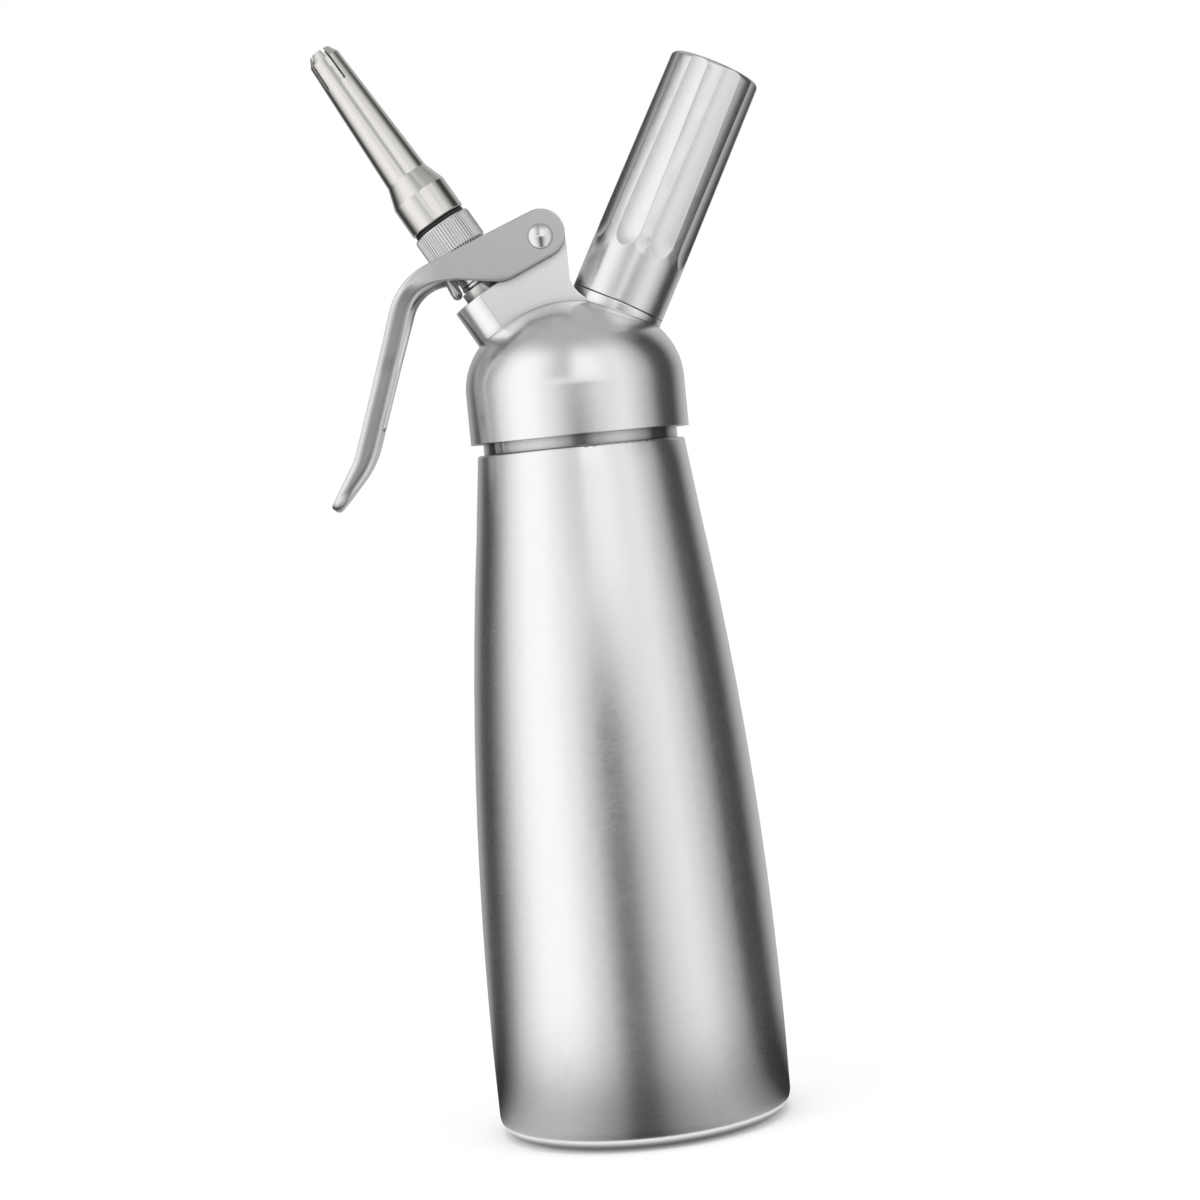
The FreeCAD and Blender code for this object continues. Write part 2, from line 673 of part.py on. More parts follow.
def crossing(point, lean, other, angle):
    """Where the line through point, leaning from upright, meets the line through other at a slope."""
    across_lean = math.tan(math.radians(lean))
    rise = math.tan(math.radians(angle))
    z = (other[2] + rise * (point[0] - across_lean * point[2] - other[0])) / (1 - rise * across_lean)
    return (point[0] + across_lean * (z - point[2]), 0, z)


def lever_outline():
    """Side outline of the lever: pivot end, straight fork, bend, straight handle and flared tip."""
    bend = by_pivot(LEVER_REACH, LEVER_TOP_RISE)
    flare = handle_line(bend, HANDLE_L, HANDLE_LEAN)
    tip = handle_line(flare, TIP_L, TIP_LEAN)
    cos_lean, sin_lean = slope(HANDLE_LEAN)
    inner = (flare[0] + HANDLE_T * cos_lean, 0, flare[2] - HANDLE_T * sin_lean)
    under_flat = (PIVOT_X - UNDER_FLAT_X, 0, PIVOT_Z - UNDER_FLAT_DROP)
    low_end = by_pivot(-LEVER_END_REACH, -LEVER_UNDER_DROP, LEVER_UNDER_SLOPE)
    belly = by_pivot(BELLY_X, -LEVER_UNDER_DROP, LEVER_UNDER_SLOPE)
    return soft_loop([
        (by_pivot(-LEVER_END_REACH, LEVER_TOP_RISE), LEVER_END_R * 0.98),
        (bend, BEND_OUTER_R),
        (flare, FLARE_OUTER_R),
        (tip, TIP_R),
        ((tip[0] + TIP_T * cos_lean, 0, tip[2] - TIP_T), TIP_R),
        (inner, FLARE_INNER_R),
        (crossing(inner, HANDLE_LEAN, under_flat, 0), BEND_INNER_R),
        (under_flat, BELLY_R),
        (belly, BELLY_R),
        (low_end, LEVER_END_R * 0.98),
    ])


def lever_plan(inset, low_inset):
    """Outline of the lever seen along X: wide fork, waisted handle and rounded tip, drawn in by inset."""
    bottom = lever_low_z() + low_inset
    fork = LEVER_W / 2 - inset
    grip = HANDLE_W / 2 - inset
    tip = HANDLE_TIP_W / 2 - inset
    half = [
        (fork, PIVOT_Z + 3 * LEVER_END_R, 1.0),
        (fork, PIVOT_Z - SHOULDER_DROP, PLAN_SHOULDER_R),
        (grip, PIVOT_Z - GRIP_DROP, PLAN_SHOULDER_R),
        (tip, bottom, HANDLE_TIP_R - inset),
    ]
    right = [((0, y, z), r) for y, z, r in half]
    left = [((0, -y, z), r) for y, z, r in reversed(half)]
    return Part.Face(Part.Wire(soft_loop(right + left)))


def lever_low_z():
    return Part.Wire(lever_outline()).BoundBox.ZMin


def lever_blank():
    """Side outline and front outline of the lever, crossed."""
    plan = lever_plan(0, 0)
    plan.translate(Vector(-FAR / 4, 0, 0))
    return across(Part.Face(Part.Wire(lever_outline())), LEVER_W / 2).common(plan.extrude(Vector(FAR / 2, 0, 0)))


def poly(points, half):
    """Prism along Y, half to each side, of a polygon in the XZ plane."""
    corners = [Vector(*point) for point in points]
    return across(Part.Face(Part.makePolygon(corners + corners[:1])), half)


def lever_hollow():
    """Space between the cheeks, over and under the plate, and the channel inside the handle."""
    bend = by_pivot(LEVER_REACH, LEVER_TOP_RISE)
    clear = 3 * LEVER_END_R
    well = poly([
        by_pivot(-clear, clear), by_pivot(WELL_L - clear, clear),
        by_pivot(WELL_L, LEVER_TOP_RISE), by_pivot(WELL_L - PLATE_DROP, LEVER_TOP_RISE - PLATE_DROP),
        by_pivot(WELL_START, LEVER_TOP_RISE - PLATE_DROP), by_pivot(WELL_START, -clear), by_pivot(-clear, -clear),
    ], CHEEK_Y)
    cos_lean, sin_lean = slope(HANDLE_LEAN)
    floor = (bend[0] + CHANNEL_FLOOR * cos_lean, 0, bend[2] - CHANNEL_FLOOR * sin_lean)
    under = by_pivot(LEVER_REACH, LEVER_TOP_RISE - PLATE_DROP - PLATE_T)
    corner = crossing(floor, HANDLE_LEAN, under, LEVER_TOP_SLOPE)
    inner = across(Part.Face(Part.Wire(lever_outline())), LEVER_W / 2)
    inner.translate(Vector(*corner) - Vector(*bend))
    plan = lever_plan(CHANNEL_WALL, 0)
    plan.translate(Vector(-FAR / 4, 0, 0))
    low = handle_line(bend, CHANNEL_L, HANDLE_LEAN)
    left = (low[0] - clear * cos_lean, 0, low[2] + clear * sin_lean)
    right = (low[0] + clear * cos_lean, 0, low[2] - clear * sin_lean)
    zone = poly([left, right, by_pivot(WELL_START - 0.1, -clear), by_pivot(WELL_START - 0.1, clear),
                 by_pivot(LEVER_REACH + clear, clear)], LEVER_W)
    return well, inner.common(plan.extrude(Vector(FAR / 2, 0, 0))).common(zone)


def tip_scoop():
    """Shallow hollow for the finger in the outer face of the flared tip."""
    flare = handle_line(by_pivot(LEVER_REACH, LEVER_TOP_RISE), HANDLE_L, HANDLE_LEAN)
    cos_tip, sin_tip = slope(TIP_LEAN)
    off = SCOOP_R - SCOOP_DEPTH
    start = Vector(flare[0] - off * cos_tip, 0, flare[2] + off * sin_tip)
    return Part.makeCylinder(SCOOP_R, 2 * TIP_L, start, Vector(-sin_tip, 0, -cos_tip))


def lever():
    well, hollow = lever_hollow()
    body = lever_blank().cut([well, hollow, tip_scoop()])
    pad_x, pad_z = valve_point(0, COLLAR_TOP_T + PAD_R + RUN_GAP)
    pad = Part.makeCylinder(PAD_R, 2 * CHEEK_Y, Vector(pad_x, -CHEEK_Y, pad_z), Vector(0, 1, 0))
    body = body.fuse([pad] + [stop_stud(y) for y in (-STUD_Y, STUD_Y)])
    slot_half = STEM_R + SLOT_GAP
    slot_low = COLLAR_TOP_T - 1
    slot_high = RING_T + 2 * RING_CHAMFER
    slot = rod(slot_half, slot_low, slot_high)
    shifted = slot.copy()
    shifted.translate(Vector(SLOT_PLAY, 0, 0))
    link = Part.makeBox(SLOT_PLAY, 2 * slot_half, slot_high - slot_low, Vector(0, -slot_half, slot_low))
    pivot = Part.makeCylinder(PIN_R + RUN_GAP, FAR, Vector(PIVOT_X, -FAR / 2, PIVOT_Z), Vector(0, 1, 0))
    return body.cut([placed(slot.fuse([shifted, link]), VALVE), pivot])


def stop_stud(y):
    """Round-ended stud under the lever's plate that meets the boss when the valve is fully open."""
    shank = Part.makeCylinder(STUD_R, STUD_L, Vector(0, 0, STUD_R))
    stud = shank.fuse(Part.makeSphere(STUD_R, Vector(0, 0, STUD_R)))
    stud.rotate(Vector(0, 0, 0), Vector(0, 1, 0), -LEVER_TOP_SLOPE)
    x, z = valve_point(-STUD_OFF, STUD_END_T)
    stud.translate(Vector(x, y, z))
    return stud


def pivot_pin():
    half = LEVER_W / 2
    head_y = half + RUN_GAP
    bulge_r = (PIN_HEAD_R ** 2 + PIN_HEAD_H ** 2) / (2 * PIN_HEAD_H)
    dome = Part.makeSphere(bulge_r, Vector(0, 0, head_y + PIN_HEAD_H - bulge_r))
    dome = dome.common(rod(2 * PIN_HEAD_R, head_y, head_y + PIN_HEAD_H + 1))
    clip_at = -half - 2 * RUN_GAP - CLIP_T
    shank = rod(PIN_R, -half - PIN_TAIL, head_y)
    groove = tube(2 * PIN_R, PIN_R - CLIP_GROOVE, clip_at - RUN_GAP, clip_at + CLIP_T + RUN_GAP)
    pin = shank.cut(groove).fuse(dome)
    return placed(pin, pivot_frame())


def pivot_frame():
    """Placement whose local +Z points along -Y at the pivot, out of the pin's domed end."""
    return FreeCAD.Placement(Vector(PIVOT_X, 0, PIVOT_Z), FreeCAD.Rotation(Vector(1, 0, 0), 90))


def pivot_clip():
    low = -LEVER_W / 2 - 2 * RUN_GAP - CLIP_T
    ring = tube(CLIP_R, PIN_R - CLIP_GROOVE + PRESS_GAP, low, low + CLIP_T)
    mouth = Part.makeBox(2 * CLIP_R, 2.6, 3 * CLIP_T, Vector(0, -1.3, low - CLIP_T))
    relief = [rod(0.9, low - 1, low + CLIP_T + 1) for _ in range(2)]
    for sign, hole in zip((1, -1), relief):
        hole.translate(Vector(-1.6, sign * 2.7, 0))
    return placed(ring.cut([mouth] + relief), pivot_frame())


def gas_valve_body():
    flange_top = GAS_INNER_Q - GAS_GASKET_T
    flange_low = flange_top - GAS_FLANGE_T
    top = GAS_TOP_Q - RUN_GAP
    body = rod(GAS_SHANK_R, flange_top - 0.5, top).fuse([
        hexagon(GAS_FLANGE_AF, flange_low, flange_top),
        rod(GAS_NIPPLE_R, flange_low - GAS_NIPPLE_L, flange_low + 0.5),
    ])
    channel = rod(GAS_CHANNEL_R, flange_low - GAS_NIPPLE_L + 2, top + 1)
    socket = rod(PIN_NEEDLE_R + 0.9 + PRESS_GAP, top - 2.0, top + 1)
    port_q = flange_low - GAS_NIPPLE_L / 2
    port = Part.makeCylinder(GAS_CHANNEL_R, 4 * GAS_NIPPLE_R, Vector(0, -2 * GAS_NIPPLE_R, port_q), Vector(0, 1, 0))
    return placed(body.cut([channel, socket, port]), GAS)


def gas_valve_gasket():
    low = GAS_INNER_Q - GAS_GASKET_T
    return placed(tube(GAS_GASKET_R, GAS_SHANK_R + SLIDE_GAP, low, GAS_INNER_Q), GAS)


def nonreturn_sleeve():
    top = GAS_INNER_Q - GAS_GASKET_T - GAS_FLANGE_T - 0.1
    inner = GAS_NIPPLE_R + PRESS_GAP
    return placed(tube(inner + SLEEVE_WALL, inner, top - GAS_NIPPLE_L + 0.8, top), GAS)


def piercing_pin():
    base = GAS_TOP_Q - RUN_GAP - 2.0
    shoulder = GAS_TOP_Q - RUN_GAP
    tip = shoulder + PIN_NEEDLE_L
    pin = lathe([
        (0, base), (PIN_NEEDLE_R + 0.9, base), (PIN_NEEDLE_R + 0.9, shoulder), (PIN_NEEDLE_R, shoulder),
        (PIN_NEEDLE_R, tip - 1.4), (0.15, tip), (0, tip),
    ])
    return placed(pin.cut(rod(0.35, base - 1, tip - 1.2)), GAS)


def charger_gasket():
    outer = CHARGER_NECK_R + CHARGER_GAP - PRESS_GAP
    return placed(tube(outer, PIN_NEEDLE_R + SLIDE_GAP, GAS_TOP_Q, GAS_TOP_Q + CHARGER_SEAT_T), GAS)


def charger():
    """Pressed steel cartridge, neck down on the gasket, with its seal already pierced."""
    low = GAS_TOP_Q + CHARGER_SEAT_T + RUN_GAP
    neck_top = low + CHARGER_NECK_L
    body_low = neck_top + CHARGER_SHOULDER_L
    high = low + CHARGER_L
    dome = CHARGER_R

    def shell(inset, base):
        r = CHARGER_R - inset
        neck = CHARGER_NECK_R - inset
        crown = high - inset
        side_top = high - dome
        edges = [
            line((0, 0, base), (neck, 0, base)),
            line((neck, 0, base), (neck, 0, neck_top)),
            arc((neck, 0, neck_top), (neck + (r - neck) * 0.62, 0, neck_top + CHARGER_SHOULDER_L * 0.42),
                (r, 0, body_low)),
            line((r, 0, body_low), (r, 0, side_top)),
            arc((r, 0, side_top), (r * math.sqrt(0.5), 0, side_top + (crown - side_top) * math.sqrt(0.5)),
                (0, 0, crown)),
            line((0, 0, crown), (0, 0, base)),
        ]
        return turned(Part.Face(Part.Wire(edges)))

    solid = shell(0, low).cut(shell(CHARGER_WALL, low + CHARGER_WALL))
    return placed(solid.cut(rod(PIERCE_HOLE_R, low - 1, low + CHARGER_WALL + 1)), GAS)


def charger_holder():
    low = HOLDER_SEAT_Q + HOLDER_SEAT_GAP
    high = HOLDER_SEAT_Q + HOLDER_L
    band_top = low + HOLDER_BAND
    flat_r = HOLDER_TOP_R - HOLDER_END_R
    cut = HOLDER_END_R * (1 - math.sqrt(0.5))
    edges = [
        line((0, 0, low), (HOLDER_R, 0, low)),
        line((HOLDER_R, 0, low), (HOLDER_R, 0, band_top)),
        line((HOLDER_R, 0, band_top), (HOLDER_TOP_R, 0, high - HOLDER_END_R)),
        arc((HOLDER_TOP_R, 0, high - HOLDER_END_R), (HOLDER_TOP_R - cut, 0, high - cut), (flat_r, 0, high)),
        line((flat_r, 0, high), (0, 0, high)),
        line((0, 0, high), (0, 0, low)),
    ]
    body = turned(Part.Face(Part.Wire(edges)))
    run_out = math.sqrt(2 * FLUTE_R * FLUTE_DEPTH)
    for k in range(FLUTES):
        flute = rod(FLUTE_R, 0, HOLDER_L).fuse(Part.makeSphere(FLUTE_R))
        flute.translate(Vector(HOLDER_R + FLUTE_R - FLUTE_DEPTH, 0, band_top + run_out))
        flute.rotate(Vector(0, 0, 0), Vector(0, 0, 1), (k + 0.5) * 360 / FLUTES)
        body = body.cut(flute)
    thread_r = GAS_BOSS_R + GAS_THREAD_GAP
    thread_top = HOLDER_SEAT_Q + GAS_BOSS_H + 1.0
    bore_r = CHARGER_R + CHARGER_GAP
    bore_top = GAS_TOP_Q + CHARGER_SEAT_T + RUN_GAP + CHARGER_L + RUN_GAP
    bore = lathe([
        (0, low - 1), (thread_r, low - 1), (thread_r, thread_top), (bore_r, thread_top + thread_r - bore_r),
        (bore_r, bore_top), (0, bore_top),
    ])
    return placed(body.cut(bore), GAS)


PARTS = {
    "bottle": bottle,
    "head_gasket": head_gasket,
    "head": head,
    "guide_cup": guide_cup,
    "valve_stem": valve_stem,
    "stem_oring": stem_oring,
    "valve_seal": valve_seal,
    "seal_retainer": seal_retainer,
    "spring_washer": spring_washer,
    "thrust_collar": thrust_collar,
    "valve_spring": valve_spring,
    "adapter_ring": adapter_ring,
    "nozzle_seal": nozzle_seal,
    "nozzle": nozzle,
    "lever": lever,
    "pivot_pin": pivot_pin,
    "pivot_clip": pivot_clip,
    "gas_valve_body": gas_valve_body,
    "gas_valve_gasket": gas_valve_gasket,
    "nonreturn_sleeve": nonreturn_sleeve,
    "piercing_pin": piercing_pin,
    "charger_gasket": charger_gasket,
    "charger": charger,
    "charger_holder": charger_holder,
}

for name, make in PARTS.items():
    shape = make()
    shape.exportStep("parts/" + name + ".step")
    box = shape.BoundBox
    print(name, "solids", len(shape.Solids), "valid", shape.isValid(), "volume", round(shape.Volume, 1),
          "box", [round(v, 1) for v in (box.XMin, box.YMin, box.ZMin, box.XMax, box.YMax, box.ZMax)])
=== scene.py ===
import math

import bmesh
import bpy
from mathutils import Matrix, Vector


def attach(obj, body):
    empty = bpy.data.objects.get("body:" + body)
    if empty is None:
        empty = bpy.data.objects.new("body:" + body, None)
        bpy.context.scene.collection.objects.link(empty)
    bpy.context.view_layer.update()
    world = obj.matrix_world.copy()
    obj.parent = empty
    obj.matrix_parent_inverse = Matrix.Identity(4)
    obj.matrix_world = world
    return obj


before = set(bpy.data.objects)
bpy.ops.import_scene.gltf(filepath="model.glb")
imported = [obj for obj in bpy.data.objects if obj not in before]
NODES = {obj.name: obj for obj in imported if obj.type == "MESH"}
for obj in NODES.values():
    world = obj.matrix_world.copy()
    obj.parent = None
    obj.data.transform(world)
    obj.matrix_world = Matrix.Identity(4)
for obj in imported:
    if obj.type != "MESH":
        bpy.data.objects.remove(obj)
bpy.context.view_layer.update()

# Axes of the two leaning assemblies, in metres and degrees.
VALVE_TILT, VALVE_Z = -29.6, 0.1963
GAS_TILT, GAS_Z = 28.2, 0.2015
PIVOT_X, PIVOT_Z = -0.0055, 0.2472

# Where the lever's bend starts and ends, and how round its edges are on either side of it.
BEND_X = (-0.045, -0.034)
HANDLE_ROUNDING, CHEEK_ROUNDING = 0.0026, 0.0007

# Heights between which the bottle's neck is polished.
NECK_POLISH = (0.1892, 0.21)

# Ridge of the neck's thread: root radius, start, turns, pitch, height and width.
NECK_THREAD = (0.0270, 0.1950, 2.2, 0.004, 0.00028, 0.0018)

# Domed head of the pivot pin, measured out from the object's middle.
CAP_R, CAP_FOOT_R, CAP_RIM = 0.0033, 0.0026, 0.0003
CAP_LOW, CAP_HIGH = 0.01308, 0.01462

# Knurl of the adapter ring: root and tip radius, lower and upper end, end chamfer, wall, teeth.
KNURL_ROOT, KNURL_TIP = 0.00840, 0.00866
KNURL_LOW, KNURL_HIGH = 0.0576, 0.0661
KNURL_CHAMFER, KNURL_WALL, KNURL_TEETH = 0.0007, 0.0004, 64


def leaning(tilt, height):
    """Frame of an axis that leans by a tilt about Y from a height on the bottle's axis."""
    return Matrix.Translation((0, 0, height)) @ Matrix.Rotation(math.radians(tilt), 4, "Y")


UPRIGHT = Matrix.Identity(4)
VALVE = leaning(VALVE_TILT, VALVE_Z)
GAS = leaning(GAS_TILT, GAS_Z)


class Shader:
    """Small helper that builds a node tree."""

    def __init__(self, name, tree=None):
        if tree is None:
            self.material = bpy.data.materials.new(name)
            self.material.use_nodes = True
            tree = self.material.node_tree
        self.tree = tree
        self.tree.nodes.clear()

    def node(self, kind, **settings):
        made = self.tree.nodes.new(kind)
        for key, value in settings.items():
            setattr(made, key, value)
        return made

    def set(self, socket, value):
        if isinstance(value, bpy.types.NodeSocket):
            self.tree.links.new(value, socket)
        else:
            socket.default_value = value

    def math(self, operation, a, b):
        made = self.node("ShaderNodeMath", operation=operation)
        for socket, value in zip(made.inputs, (a, b)):
            self.set(socket, value)
        return made.outputs[0]

    def vector(self, x, y, z):
        made = self.node("ShaderNodeCombineXYZ")
        for socket, value in zip(made.inputs, (x, y, z)):
            self.set(socket, value)
        return made.outputs[0]

    def noise(self, vector, scale, detail=2.0, rough=0.5):
        made = self.node("ShaderNodeTexNoise")
        self.set(made.inputs["Vector"], vector)
        self.set(made.inputs["Scale"], scale)
        self.set(made.inputs["Detail"], detail)
        self.set(made.inputs["Roughness"], rough)
        return made.outputs[0]

    def remap(self, value, low, high, to_low, to_high):
        made = self.node("ShaderNodeMapRange")
        for name, number in (("Value", value), ("From Min", low), ("From Max", high),
                             ("To Min", to_low), ("To Max", to_high)):
            self.set(made.inputs[name], number)
        return made.outputs[0]

    def tint(self, factor, low, high):
        made = self.node("ShaderNodeMix", data_type="RGBA")
        self.set(made.inputs[0], factor)
        self.set(made.inputs[6], (*low, 1.0))
        self.set(made.inputs[7], (*high, 1.0))
        return made.outputs[2]

    def open_view(self):
        """1 where the camera, metal or glass looks, 0 for plain light."""
        path = self.node("ShaderNodeLightPath").outputs
        through = self.math("MAXIMUM", path["Is Glossy Ray"], path["Is Transmission Ray"])
        return self.math("MAXIMUM", path["Is Camera Ray"], through)

    def surface(self, shading):
        """Ends a material with its surface shader."""
        self.set(self.node("ShaderNodeOutputMaterial").inputs["Surface"], shading.outputs[0])

    def local(self, matrix):
        """Position along and round an axis: object coordinates in that axis's own frame."""
        source = self.node("ShaderNodeTexCoord").outputs["Object"]
        inverse = matrix.inverted()
        mapping = self.node("ShaderNodeMapping", vector_type="POINT")
        self.set(mapping.inputs["Vector"], source)
        self.set(mapping.inputs["Location"], inverse.to_translation())
        self.set(mapping.inputs["Rotation"], inverse.to_euler())
        split = self.node("ShaderNodeSeparateXYZ")
        self.set(split.inputs[0], mapping.outputs[0])
        return mapping.outputs[0], split.outputs


# Openness of a point in a corner, where shade is full, and of one that is clear of it.
CROWDED = (0.35, 0.85)


def painted_shade(shader, base, distance, low):
    """Paints shade into a colour: darkens it where the surface meets or faces another piece closely."""
    near = shader.node("ShaderNodeAmbientOcclusion", samples=8)
    shader.set(near.inputs["Distance"], distance)
    scaled = shader.node("ShaderNodeVectorMath", operation="SCALE")
    shader.set(scaled.inputs[0], base)
    shader.set(scaled.inputs["Scale"], shader.remap(near.outputs["AO"], *CROWDED, low, 1.0))
    return scaled.outputs[0]


def principled(shader, base, rough, normal, metallic=1.0):
    """Ends a material with a surface of this colour, roughness and relief."""
    made = shader.node("ShaderNodeBsdfPrincipled")
    shader.set(made.inputs["Base Color"], base)
    shader.set(made.inputs["Roughness"], rough)
    shader.set(made.inputs["Metallic"], metallic)
    shader.set(made.inputs["Normal"], normal)
    shader.surface(made)


def bumped(shader, height, strength, distance, edge=0.0):
    """Relief of a height, over edges that are rounded where edge says so."""
    made = shader.node("ShaderNodeBump")
    shader.set(made.inputs["Strength"], strength)
    shader.set(made.inputs["Distance"], distance)
    shader.set(made.inputs["Height"], height)
    if edge:
        bevel = shader.node("ShaderNodeBevel", samples=8)
        shader.set(bevel.inputs["Radius"], edge)
        shader.set(made.inputs["Normal"], bevel.outputs[0])
    return made.outputs[0]


def turned_metal(name, low, high, rough, axis=UPRIGHT, grain=2600.0, spread=0.06, edge=0.0003,
                 depth=0.000012, bright=None):
    """Metal brushed round an axis: fine rings of scratches, broken along their length.

    The colour runs from low to high with the grain, the roughness by spread about rough. Edges
    are rounded by edge, and between the two heights of bright the surface is polished.
    """
    shader = Shader(name)
    _, (x, y, z) = shader.local(axis)
    turn = shader.math("ARCTAN2", y, x)
    along = shader.vector(shader.math("MULTIPLY", turn, 0.012), 0.0, z)
    aside = shader.vector(shader.math("MULTIPLY", turn, 0.02), 0.3, z)
    rings = shader.noise(along, grain, 3.0, 0.65)
    streaks = shader.noise(aside, grain * 0.22, 4.0, 0.7)
    blotch = shader.noise(shader.vector(x, y, z), 24.0, 3.0, 0.55)
    mixed = shader.math("ADD", shader.math("MULTIPLY", rings, 0.6), shader.math("MULTIPLY", streaks, 0.4))
    base = shader.tint(shader.remap(mixed, 0.3, 0.7, 0.0, 1.0), low, high)
    roughness = shader.math(
        "ADD",
        shader.remap(mixed, 0.3, 0.7, rough - spread, rough + spread),
        shader.remap(blotch, 0.3, 0.7, -0.02, 0.02))
    if bright:
        low_edge, high_edge = bright
        above = shader.math("GREATER_THAN", z, low_edge)
        inside = shader.math("MULTIPLY", above, shader.math("LESS_THAN", z, high_edge))
        roughness = shader.math("MULTIPLY", roughness, shader.remap(inside, 0.0, 1.0, 1.0, 0.4))
    normal = bumped(shader, mixed, 0.12, depth, edge)
    # Painted shade: the colour is darkened where another piece is close.
    principled(shader, painted_shade(shader, base, 0.004, 0.25), roughness, normal)
    return shader.material


def cast_metal(name, low, high, rough, grain=3000.0, edge=0.0003, depth=0.00001, spread=0.03, near=0.003):
    """Fine tumbled or blasted metal with an even small grain."""
    shader = Shader(name)
    place, _ = shader.local(UPRIGHT)
    grains = shader.noise(place, grain, 3.0, 0.6)
    blotch = shader.noise(place, 60.0, 3.0, 0.5)
    base = shader.tint(shader.remap(grains, 0.35, 0.65, 0.0, 1.0), low, high)
    roughness = shader.math(
        "ADD",
        shader.remap(grains, 0.3, 0.7, rough - spread, rough + spread),
        shader.remap(blotch, 0.3, 0.7, -0.03, 0.03))
    normal = bumped(shader, grains, 0.15, depth, edge)
    # Painted shade: the colour is darkened where another piece is close.
    principled(shader, painted_shade(shader, base, near, 0.2), roughness, normal)
    return shader.material


def lever_metal():
    """Satin cheeks that pass into a polished, well rounded handle past the bend; the cheeks' colour is
    painted darker as painted shade and the handle's lighter as painted light.
    """
    shader = Shader("lever_metal")
    place, (x, _, _) = shader.local(UPRIGHT)
    grains = shader.noise(place, 3000.0, 3.0, 0.6)
    cheek = shader.remap(x, *BEND_X, 0.0, 1.0)
    # Painted light and shade: one metal, its colour painted darker on the cheeks and lighter on the handle.
    cheek_painted_dark = shader.tint(grains, (0.64, 0.64, 0.645), (0.69, 0.69, 0.695))
    handle_painted_light = shader.tint(grains, (0.88, 0.88, 0.885), (0.92, 0.92, 0.925))
    base = shader.node("ShaderNodeMix", data_type="RGBA")
    for socket, value in ((0, cheek), (6, handle_painted_light), (7, cheek_painted_dark)):
        shader.set(base.inputs[socket], value)
    roughness = shader.math(
        "ADD",
        shader.remap(cheek, 0.0, 1.0, 0.19, 0.3),
        shader.remap(grains, 0.3, 0.7, -0.02, 0.02))
    rounding = shader.remap(cheek, 0.0, 1.0, HANDLE_ROUNDING, CHEEK_ROUNDING)
    normal = bumped(shader, grains, 0.12, 0.00001, rounding)
    # Painted shade: the colour is also darkened where another piece is close.
    principled(shader, painted_shade(shader, base.outputs[2], 0.002, 0.3), roughness, normal)
    return shader.material


def rubber(name, low, high, rough):
    """Matt rubber or silicone with a fine moulded grain."""
    shader = Shader(name)
    place, _ = shader.local(UPRIGHT)
    grains = shader.noise(place, 2200.0, 3.0, 0.6)
    base = shader.tint(grains, low, high)
    roughness = shader.remap(grains, 0.3, 0.7, rough - 0.08, rough + 0.08)
    principled(shader, base, roughness, bumped(shader, grains, 0.3, 0.00002, 0.0002), metallic=0.0)
    return shader.material


MATERIALS = {
    "satin_steel": turned_metal("satin_steel", (0.94, 0.94, 0.942), (0.985, 0.985, 0.987), 0.25,
                                grain=1500.0, spread=0.035, bright=NECK_POLISH),
    "head": turned_metal("head_metal", (0.94, 0.94, 0.942), (0.985, 0.985, 0.987), 0.23,
                         grain=1500.0, spread=0.035, edge=0.0005),
    "lever": lever_metal(),
    "holder": turned_metal("holder_metal", (0.86, 0.86, 0.865), (0.93, 0.93, 0.935), 0.24, GAS,
                           grain=1800.0, edge=0.0005),
    "nozzle": turned_metal("nozzle_metal", (0.80, 0.78, 0.745), (0.87, 0.85, 0.815), 0.15, VALVE,
                           grain=1500.0, spread=0.03, edge=0.0002),
    "knurl": cast_metal("knurl_metal", (0.76, 0.76, 0.75), (0.84, 0.84, 0.83), 0.2, edge=0.0, near=0.0007),
    "valve": turned_metal("valve_metal", (0.70, 0.69, 0.67), (0.80, 0.79, 0.77), 0.2, VALVE),
    "pin": cast_metal("pin_metal", (0.84, 0.84, 0.84), (0.90, 0.90, 0.90), 0.15),
    "spring": cast_metal("spring_metal", (0.66, 0.66, 0.66), (0.76, 0.76, 0.76), 0.2),
    "brass": turned_metal("brass_metal", (0.80, 0.62, 0.32), (0.88, 0.70, 0.40), 0.24, GAS),
    "charger": turned_metal("charger_metal", (0.72, 0.72, 0.72), (0.80, 0.80, 0.80), 0.22, GAS),
    "black": rubber("black_rubber", (0.008, 0.008, 0.009), (0.018, 0.018, 0.02), 0.42),
    "red": rubber("red_silicone", (0.42, 0.035, 0.03), (0.52, 0.06, 0.045), 0.45),
}
USES = {
    "bottle": "satin_steel", "head": "head", "guide_cup": "valve", "pivot_pin": "pin", "pivot_clip": "spring",
    "gas_valve_body": "brass", "gas_valve_gasket": "black", "nonreturn_sleeve": "red", "piercing_pin": "pin",
    "charger_gasket": "black", "lever": "lever", "valve_stem": "valve", "stem_oring": "black",
    "valve_seal": "red", "seal_retainer": "valve", "spring_washer": "valve", "thrust_collar": "valve",
    "valve_spring": "spring", "adapter_ring": "knurl", "nozzle_seal": "black", "nozzle": "nozzle",
    "charger": "charger", "charger_holder": "holder", "head_gasket": "red",
}
for name, use in USES.items():
    NODES[name].data.materials.clear()
    NODES[name].data.materials.append(MATERIALS[use])


